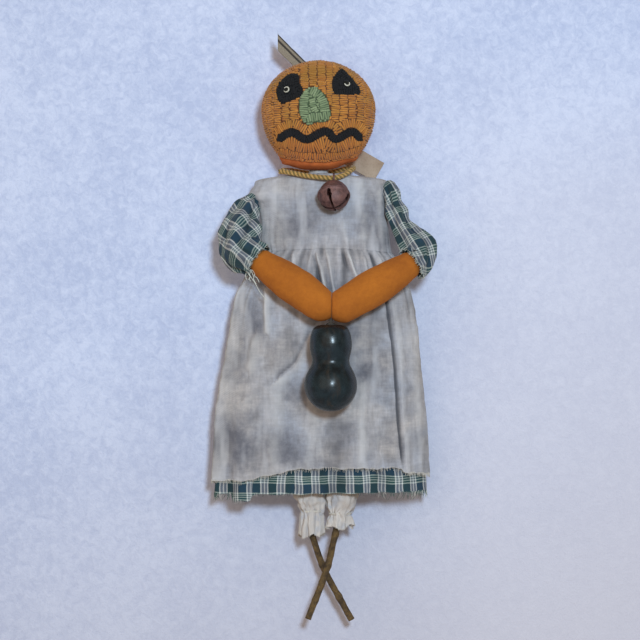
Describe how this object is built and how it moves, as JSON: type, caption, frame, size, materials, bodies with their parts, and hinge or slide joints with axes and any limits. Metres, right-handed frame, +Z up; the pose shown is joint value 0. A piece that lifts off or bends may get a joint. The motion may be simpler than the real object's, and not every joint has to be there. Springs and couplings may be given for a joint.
{
  "type": "pumpkin doll",
  "caption": "Stuffed folk-art wall doll with a hooked wool pumpkin head, apron dress over plaid, felt arms that hold a gourd, a collar bell and crossed twig legs.",
  "frame": {"origin": "on the wall plane behind the neck, where the nail under the collar cord stands out of the wall", "axes": "+Z up, +Y into the wall, so the doll faces -Y; +X to the doll's left, which is the viewer's right"},
  "size_m": [0.1898, 0.0958, 0.5006],
  "materials": {
    "stuffing": "stuffed unbleached cotton",
    "plaid_homespun": "green and cream plaid homespun",
    "muslin": "grained, tea-stained muslin",
    "cord": "twisted gold and olive cord",
    "wool_orange": "hooked wool loops",
    "wool_plain": "plain felted wool",
    "wool_black": "hooked wool loops",
    "wool_green": "hooked wool loops",
    "eye_button": "glossy",
    "split_wood": "weathered split stick",
    "rusty_tin": "rusted sheet",
    "felt": "felted wool",
    "gourd": "dark green varnish",
    "twig": "bark",
    "pantaloon_cotton": "creased cotton",
    "thread": "gathering thread",
    "paper": "plain kraft paper"
  },
  "bodies": {
    "torso": {"torso": "stuffing", "plaid_bodice": "plaid_homespun", "plaid_skirt": "plaid_homespun", "apron_bodice": "muslin", "apron_skirt": "muslin", "collar_cord": "cord"},
    "neck": {"neck": "stuffing"},
    "head": {"face_panel": "wool_orange", "head_back": "wool_plain", "head_stuffing": "stuffing", "right_eye_patch": "wool_black", "left_eye_patch": "wool_black", "nose_patch": "wool_green", "mouth_patch": "wool_black", "right_eye_button": "eye_button", "left_eye_button": "eye_button", "stem": "split_wood"},
    "bell": {"bell_top": "rusty_tin", "bell_bottom": "rusty_tin", "bell_shank": "rusty_tin"},
    "bell_pellet": {"bell_pellet": "rusty_tin"},
    "right_arm": {"right_upper_arm": "stuffing", "right_sleeve": "plaid_homespun"},
    "right_forearm": {"right_forearm": "felt"},
    "ornament": {"gourd_bulb": "gourd", "gourd_stem": "twig"},
    "left_arm": {"left_upper_arm": "stuffing", "left_sleeve": "plaid_homespun"},
    "left_forearm": {"left_forearm": "felt"},
    "right_leg": {"right_pantaloon": "pantaloon_cotton", "right_ankle_tie": "thread", "right_twig": "twig"},
    "left_leg": {"left_pantaloon": "pantaloon_cotton", "left_ankle_tie": "thread", "left_twig": "twig"},
    "tag": {"paper_tag": "paper"}
  },
  "joints": [
    {"name": "head_tilt", "type": "hinge", "parent": "torso", "child": "neck", "pos_m": [-0.0009, -0.023, -0.0065], "axis": [0, 1, 0], "range_deg": [-4, 4]},
    {"name": "head_turn", "type": "hinge", "parent": "neck", "child": "head", "pos_m": [-0.0009, -0.023, 0.01], "axis": [0, 0, 1], "range_deg": [-12, 12]},
    {"name": "bell_swing", "type": "hinge", "parent": "torso", "child": "bell", "pos_m": [0.0121, -0.0444, -0.0021], "axis": [0, 1, 0], "range_deg": [-8, 8]},
    {"name": "pellet_roll", "type": "hinge", "parent": "bell", "child": "bell_pellet", "pos_m": [0.0121, -0.05485, -0.01761], "axis": [0, 1, 0], "range_deg": [-50, 50]},
    {"name": "right_shoulder", "type": "hinge", "parent": "torso", "child": "right_arm", "pos_m": [-0.05975, -0.02314, -0.024], "axis": [-1, 0, 0], "range_deg": [0, 50]},
    {"name": "right_elbow", "type": "hinge", "parent": "right_arm", "child": "right_forearm", "pos_m": [-0.0465, -0.0559, -0.0755], "axis": [-0.5428, 0.1593, -0.8246], "range_deg": [0, 30]},
    {"name": "gourd_swing", "type": "hinge", "parent": "right_forearm", "child": "ornament", "pos_m": [0.0094, -0.0739, -0.1216], "axis": [0, 1, 0], "range_deg": [-6, 6]},
    {"name": "left_shoulder", "type": "hinge", "parent": "torso", "child": "left_arm", "pos_m": [0.06368, -0.023, -0.014], "axis": [-1, 0, 0], "range_deg": [0, 50]},
    {"name": "left_elbow", "type": "hinge", "parent": "left_arm", "child": "left_forearm", "pos_m": [0.0735, -0.0559, -0.0778], "axis": [-0.4933, -0.1272, 0.8605], "range_deg": [0, 30]},
    {"name": "right_hip", "type": "hinge", "parent": "torso", "child": "right_leg", "pos_m": [-0.008, -0.026, -0.1461], "axis": [0, 1, 0], "range_deg": [0, 12]},
    {"name": "left_hip", "type": "hinge", "parent": "torso", "child": "left_leg", "pos_m": [0.0186, -0.026, -0.1481], "axis": [0, -1, 0], "range_deg": [0, 12]},
    {"name": "tag_lift", "type": "hinge", "parent": "torso", "child": "tag", "pos_m": [0.0262, -0.0052, 0.0196], "axis": [0, -1, 0], "range_deg": [0, 25]}
  ]
}
